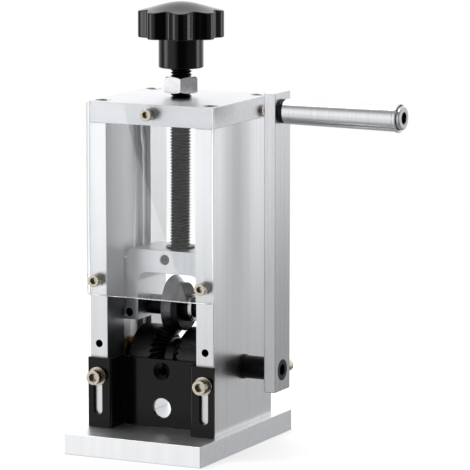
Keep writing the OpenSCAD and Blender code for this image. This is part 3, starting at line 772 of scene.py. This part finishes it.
def makeLockWasher():
    low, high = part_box("arm_screw_washer")
    thick = high.y - low.y
    outer, inner, soft = (high.x - low.x) / 2, lockWasher["inner"], lockWasher["soft"]
    made = lathe("armLockWasher", [
        (inner, 0), (outer - soft, 0), (outer, soft), (outer, thick - soft), (outer - soft, thick),
        (inner, thick), (inner, 0)], lockWasher["steps"])
    slant = math.radians(lockWasher["slant"])
    bpy.ops.mesh.primitive_cube_add(size=1, location=(outer, 0, thick / 2), rotation=(slant, 0, 0))
    slit = bpy.context.object
    slit.scale = (2 * outer, lockWasher["slit"], 4 * thick)
    bakePlace(slit)
    cutWith(made, slit)
    centre = centreOf("arm_screw_washer")
    put(made, Vector((centre.x, low.y, centre.z)), "back", lockWasher["turn"])
    softShade(made)
    settle(made, nickel, "arm_screw_washer")


makeLockWasher()

# Hand screw: cut thread, plain spigot below it

thread = {
    "pitch": 1.75 * mm,
    "crest": 5.95 * mm,
    "root": 5.0 * mm,
    "crestFlat": 0.12,  # shares of the pitch
    "rootFlat": 0.2,
    "steps": 48,
    "spareTurns": 2,  # wound past the ends and cut off again
    "spigot": 4 * mm,
    "spigotEdge": 0.4 * mm,
    "neck": 2.8 * mm,
    "neckHeight": 3.6 * mm,
    "chamfer": 0.8 * mm,
}


def makeThreadedRod():
    low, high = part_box("threaded_rod")
    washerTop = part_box("rod_washer")[1].z
    pitch, crest, root = thread["pitch"], thread["crest"], thread["root"]
    flank = (1 - thread["crestFlat"] - thread["rootFlat"]) / 2
    rise = [0, thread["rootFlat"], thread["rootFlat"] + flank, 1 - flank, 1]
    outline = [(radius, 0, share * pitch) for radius, share in zip((root, root, crest, crest, root), rise)]
    long = high.z - washerTop
    made = outlineOf("threadedRod", outline)
    helix = made.modifiers.new("helix", "SCREW")
    helix.axis = "Z"
    helix.screw_offset = pitch
    helix.iterations = math.ceil(long / pitch) + thread["spareTurns"]
    helix.steps = thread["steps"]
    helix.render_steps = thread["steps"]
    applyAll(made)
    tidyMesh(made)
    for height, inner, outer in ((pitch, True, False), (pitch + long, False, True)):
        edit(made, "FACE")
        bpy.ops.mesh.select_all(action="SELECT")
        bpy.ops.mesh.bisect(plane_co=(0, 0, height), plane_no=(0, 0, 1), use_fill=True,
                            clear_inner=inner, clear_outer=outer)
        letGo()
    chamfer = thread["chamfer"]
    cone = lathe("chamfer", [(0, 0), (crest - chamfer, 0), (crest + tiny, chamfer),
                             (crest + tiny, long - chamfer), (crest - chamfer, long), (0, long)])
    put(cone, Vector((0, 0, pitch)))
    cutWith(made, cone, "INTERSECT")
    put(made, Vector((0, 0, -pitch)))
    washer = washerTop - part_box("rod_washer")[0].z
    spigotLow = low.z - washerTop
    neckMiddle = centreOf("retaining_screw").z - washerTop
    radius, neck, soft = thread["spigot"], thread["neck"], thread["spigotEdge"]
    neckLow, neckHigh = neckMiddle - thread["neckHeight"] / 2, neckMiddle + thread["neckHeight"] / 2
    spigot = lathe("spigot", [
        (0, spigotLow), (radius - soft, spigotLow), (radius, spigotLow + soft), (radius, neckLow),
        (neck, neckLow), (neck, neckHigh), (radius, neckHigh), (radius, washer), (0, washer)])
    whole = joined("threadedRod", [made, spigot])
    centre = centreOf("threaded_rod")
    put(whole, Vector((centre.x, centre.y, washerTop)))
    softShade(whole)
    settle(whole, threadSteel, "threaded_rod")


makeThreadedRod()

# Lock nut: hexagon with a cone on both faces

nut = {
    "flats": 19 * mm,
    "faceInset": 0.1 * mm,  # how far inside the flats the cones start
    "cone": 1.0 * mm,
    "edge": 0.15 * mm,
    "bore": 6.05 * mm,
    "mouth": 0.6 * mm,
    "past": 1 * mm,
    "turn": 25,
}


def makeNut():
    low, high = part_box("lock_nut")
    thick = high.z - low.z
    face = nut["flats"] / 2 - nut["faceInset"]
    made = hexColumn("lockNut", nut["flats"], thick, 0)
    breakEdges(made, nut["edge"], 1, lambda edge: abs(edge.verts[0].co.z - edge.verts[1].co.z) > thick / 2)
    over = cornerRadius(nut["flats"]) + tiny
    cone = lathe("cones", [(0, 0), (face, 0), (over, nut["cone"]), (over, thick - nut["cone"]),
                           (face, thick), (0, thick)])
    cutWith(made, cone, "INTERSECT")
    past = nut["past"]
    mouth = nut["bore"] + nut["mouth"] + past
    bore = lathe("bore", [(0, -past), (mouth, -past), (nut["bore"], nut["mouth"]),
                          (nut["bore"], thick - nut["mouth"]), (mouth, thick + past), (0, thick + past)])
    cutWith(made, bore)
    tidyMesh(made)
    centre = centreOf("lock_nut")
    put(made, Vector((centre.x, centre.y, low.z)), "up", nut["turn"])
    softShade(made)
    settle(made, nutSteel, "lock_nut")


makeNut()
print("hand screw and nut made")

# Knob: lobed head on a round neck, its top one bell-shaped dome that runs out over the lobes

knob = {
    "lobes": 8,
    "outer": 24.3 * mm,
    "depth": 4.1 * mm,
    "power": 1.3,  # above 1 the lobes are broad and the valleys narrow
    "turn": -63.8,
    "points": 256,
    "neckRadius": 12.75 * mm,
    "neckFoot": 0.8 * mm,
    "under": 17.2 * mm,
    "drop": 5.6 * mm,  # how far the dome falls at the radius where it would turn level again
    "level": 30 * mm,
    "rings": 14,
    "soft": 0.6 * mm,
    # how far the points of the rim's rounding lie inside and below it, as shares of soft
    "rimShares": ((0.1, 0.6), (0.3, 0.3), (0.6, 0.02)),
    "bore": 6.05 * mm,
    "boreHeight": 26 * mm,
    "past": 1 * mm,
}


def knobRadius(angle):
    wave = (1 - math.cos(knob["lobes"] * angle)) / 2
    return knob["outer"] - knob["depth"] * wave ** knob["power"]


def domeDrop(radius):
    return knob["drop"] * (1 - math.cos(math.pi * radius / knob["level"])) / 2


def makeKnobHead(height):
    # A turned dome and rim whose points are then drawn in to the lobed outline
    outer, under, soft = knob["outer"], knob["under"], knob["soft"]
    rim = height - domeDrop(outer)
    rings = [(outer - soft) * (1 - i / knob["rings"]) for i in range(knob["rings"] + 1)]
    top = [(radius, height - domeDrop(radius)) for radius in rings]
    inner = soft * roundShare
    made = lathe("handKnob", [
        (0, under), (outer - soft, under), (outer - inner, under + inner), (outer, under + soft),
        (outer, rim - soft), *[(outer - soft * a, rim - soft * b) for a, b in knob["rimShares"]], *top],
        knob["points"])
    for vertex in made.data.vertices:
        radius = vertex.co.xy.length
        share = knobRadius(math.atan2(vertex.co.y, vertex.co.x)) / outer
        if vertex.co.z > rim - soft - tiny:
            vertex.co.z += domeDrop(radius) - domeDrop(radius * share)
        vertex.co.x *= share
        vertex.co.y *= share
    return made


def makeKnob():
    low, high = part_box("knob")
    made = makeKnobHead(high.z - low.z)
    neck, foot, under, past = knob["neckRadius"], knob["neckFoot"], knob["under"], knob["past"]
    inner = foot * roundShare
    stem = lathe("neck", [
        (0, 0), (neck - foot, 0), (neck - inner, inner), (neck, foot), (neck, under - foot),
        (neck + inner, under - inner), (neck + foot, under + past), (0, under + past)])
    cutWith(made, stem, "UNION")
    cutWith(made, column("bore", knob["bore"], knob["boreHeight"], -past))
    tidyMesh(made)
    centre = centreOf("threaded_rod")
    put(made, Vector((centre.x, centre.y, low.z)), "up", knob["turn"])
    softShade(made)
    settle(made, knobBlack, "knob")


makeKnob()
print("knob made")

# Handle grip: turned sleeve with a groove before its rim

grip = {
    "nearRadius": 7 * mm,
    "bigRadius": 7.7 * mm,
    "rimWidth": 1.8 * mm,
    "groove": 0.2 * mm,
    "soft": 0.3 * mm,
    "sink": 5.8 * mm,
    "sinkRadius": 6.8 * mm,
    "bore": 4.05 * mm,
}


def makeGrip():
    low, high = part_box("handle_grip")
    long = high.x - low.x
    rimRadius = (high.z - low.z) / 2
    rim = long - grip["rimWidth"]
    soft, groove, bore = grip["soft"], grip["groove"], grip["bore"]
    near, big, sunk = grip["nearRadius"], grip["bigRadius"], grip["sinkRadius"]
    floorX = long - grip["sink"]
    inner = soft * roundShare
    made = lathe("handleGrip", [
        (bore, 0), (near - soft, 0), (near - inner, inner), (near, soft),
        (big, rim - 2 * groove), (big - groove, rim - groove), (big - groove, rim),
        (rimRadius - soft / 2, rim), (rimRadius, rim + soft / 2),
        (rimRadius, long - soft), (rimRadius - inner, long - inner), (rimRadius - soft, long),
        (sunk + soft, long), (sunk, long - soft), (sunk, floorX), (bore, floorX), (bore, 0)])
    centre = centreOf("handle_grip")
    put(made, Vector((low.x, centre.y, centre.z)), "right")
    softShade(made)
    settle(made, turnedAluminium, "handle_grip")


makeGrip()
print("grip made")

# Camera, floor and light

camera = {
    "place": (0.94393, -1.84697, 0.44406),
    "turn": 26.206,  # to the right of straight ahead
    "tiltDown": 8.895,
    "lens": 283.25,
    "sensor": 36,
    "near": 0.1,
    "far": 20,
}


def makeCamera():
    turned = (math.radians(90 - camera["tiltDown"]), 0, math.radians(camera["turn"]))
    bpy.ops.object.camera_add(location=camera["place"], rotation=turned)
    made = bpy.context.object
    made.data.sensor_width = camera["sensor"]
    made.data.lens = camera["lens"]
    made.data.clip_start = camera["near"]
    made.data.clip_end = camera["far"]
    bpy.context.scene.camera = made


floor = {"near": 0.35, "far": 0.9, "color": "F4F4F4", "lift": 0.45}


def straightSight(tree):
    # 1 for what the camera sees, straight or through the guard, and 0 for what a metal face mirrors
    path = addNode(tree, "ShaderNodeLightPath")
    plain = worked(tree, "LESS_THAN", {0: path.outputs["Glossy Depth"]}, {1: 0.5})
    through = worked(tree, "MULTIPLY", {0: path.outputs["Is Transmission Ray"], 1: plain})
    return worked(tree, "MAXIMUM", {0: path.outputs["Is Camera Ray"], 1: through})


def makeFloor():
    bpy.ops.mesh.primitive_circle_add(vertices=96, radius=floor["far"], fill_type="NGON")
    made = bpy.context.object
    made.name = "floor"
    material, tree, shader = startMaterial("white sweep", floor["color"], 0.0, 0.9)
    shader.inputs["Specular IOR Level"].default_value = 0.0
    lifted = worked(tree, "MULTIPLY", {0: straightSight(tree)}, {1: floor["lift"]})
    glow = addNode(tree, "ShaderNodeEmission", links={"Strength": lifted})
    lit = addNode(tree, "ShaderNodeAddShader", links={0: shader.outputs[0], 1: glow.outputs[0]})
    place = addNode(tree, "ShaderNodeTexCoord")
    away = addNode(tree, "ShaderNodeVectorMath", settings={"operation": "LENGTH"},
                   links={0: place.outputs["Object"]})
    fade = eased(tree, away.outputs["Value"], {"From Min": floor["near"], "From Max": floor["far"]})
    clear = addNode(tree, "ShaderNodeBsdfTransparent")
    faded = addNode(tree, "ShaderNodeMixShader", links={0: fade, 1: lit.outputs[0], 2: clear.outputs[0]})
    showInstead(tree, faded.outputs[0])
    made.data.materials.append(material)
    made.visible_glossy = False


sky = {
    "base": 0.31,
    # towards, angles within which it is full and past which it is gone, level
    "back": ((-0.31, 0.85, 0.42), 25, 90, 0.96),
    "panels": {
        "front left": ((-0.56, -0.82, -0.08), 16, 48, 0.82),
        "below": ((0, 0, -1), 30, 66, 0.27),
        "left strip": ((-0.84, -0.54, -0.1), 3, 14, 3.4),
        "right strip": ((0.83, 0.55, -0.1), 3, 14, 3.4),
    },
    "dim": 0.36,  # share of the base and the back that is left below the horizon
    "dimFrom": -0.08,
    "dimTo": -0.25,
    # the dark room behind the camera, as a share of the base and the back
    "behind": ((0.436, -0.886, 0.155), 16, 46, -0.85),
}


def addPanel(tree, direction, panel):
    # The light of one soft panel of the room in each direction
    towards, full, gone, level = panel
    near = addNode(tree, "ShaderNodeVectorMath", settings={"operation": "DOT_PRODUCT"}, links={0: direction})
    near.inputs[1].default_value = Vector(towards).normalized()
    return eased(tree, near.outputs["Value"], {
        "From Min": math.cos(math.radians(gone)), "From Max": math.cos(math.radians(full)), "To Max": level})


def makeWorld():
    world = bpy.data.worlds.new("studio")
    bpy.context.scene.world = world
    world.use_nodes = True
    tree = world.node_tree
    tree.nodes.clear()
    direction = addNode(tree, "ShaderNodeTexCoord").outputs["Generated"]
    walls = worked(tree, "ADD", {0: addPanel(tree, direction, sky["back"])}, {1: sky["base"]})
    split = addNode(tree, "ShaderNodeSeparateXYZ", links={0: direction})
    sunk = eased(tree, split.outputs["Z"], {
        "From Min": sky["dimTo"], "From Max": sky["dimFrom"], "To Min": sky["dim"]})
    lit = worked(tree, "ADD", {0: addPanel(tree, direction, sky["behind"])}, {1: 1.0})
    shown = worked(tree, "MULTIPLY", {0: lit, 1: sunk})
    total = worked(tree, "MULTIPLY", {0: walls, 1: shown})
    for panel in sky["panels"].values():
        total = worked(tree, "ADD", {0: total, 1: addPanel(tree, direction, panel)})
    room = addNode(tree, "ShaderNodeBackground", links={"Strength": total})
    room.inputs["Color"].default_value = (1, 1, 1, 1)
    white = addNode(tree, "ShaderNodeBackground", values={"Color": (1, 1, 1, 1), "Strength": 1.0})
    mixed = addNode(tree, "ShaderNodeMixShader", links={
        0: straightSight(tree), 1: room.outputs[0], 2: white.outputs[0]})
    addNode(tree, "ShaderNodeOutputWorld", links={"Surface": mixed.outputs[0]})


lights = {
    "key": {"place": (-0.82, -0.1, 1.84), "size": 0.9, "power": 10},
    "fill": {"place": (1.5, -0.6, 0.9), "size": 1.2, "power": 3},
}


def makeLights():
    middleOf = (cadLow + cadHigh) / 2
    for name, light in lights.items():
        place = Vector(light["place"])
        aim = (middleOf - place).to_track_quat("-Z", "Y").to_euler()
        bpy.ops.object.light_add(type="AREA", location=place, rotation=aim)
        made = bpy.context.object
        made.name = name
        made.data.size = light["size"]
        made.data.energy = light["power"]
        made.visible_camera = False


# A card that only the guard mirrors: its edge draws the slanted edge of the glare
card = {
    "edge": (-0.6411, -1.3, -0.0999),  # where the glare's edge is mirrored from
    "towardsGuard": (0.4531, 0.8778, 0.1555),
    "alongEdge": (-0.3535, 0.0168, 0.9353),
    "across": 0.24,
    "long": 0.6,
    "level": 5.6,
}


def makeCard(guard):
    back = -Vector(card["towardsGuard"]).normalized()
    up = Vector(card["alongEdge"])
    up = (up - back * up.dot(back)).normalized()
    aside = up.cross(back)
    turned = Matrix((aside, up, back)).transposed().to_euler()
    place = Vector(card["edge"]) - aside * card["across"] / 2
    bpy.ops.object.light_add(type="AREA", location=place, rotation=turned)
    made = bpy.context.object
    made.name = "glareCard"
    made.data.shape = "RECTANGLE"
    made.data.size = card["across"]
    made.data.size_y = card["long"]
    made.data.energy = card["level"] * math.pi * card["across"] * card["long"]
    made.visible_camera = False
    made.visible_transmission = False
    lit = bpy.data.collections.new("guardAlone")
    lit.objects.link(guard)
    made.light_linking.receiver_collection = lit


picture = {"side": 470, "bounces": 12}


def setRender():
    scene = bpy.context.scene
    scene.render.engine = "CYCLES"
    scene.render.resolution_x = picture["side"]
    scene.render.resolution_y = picture["side"]
    scene.view_settings.view_transform = "Standard"
    scene.cycles.max_bounces = picture["bounces"]
    scene.cycles.transmission_bounces = picture["bounces"]
    scene.cycles.transparent_max_bounces = picture["bounces"]


makeCamera()
makeFloor()
makeWorld()
makeLights()
makeCard(clearGuard)
setRender()
print("camera, floor and light made")


print("done")
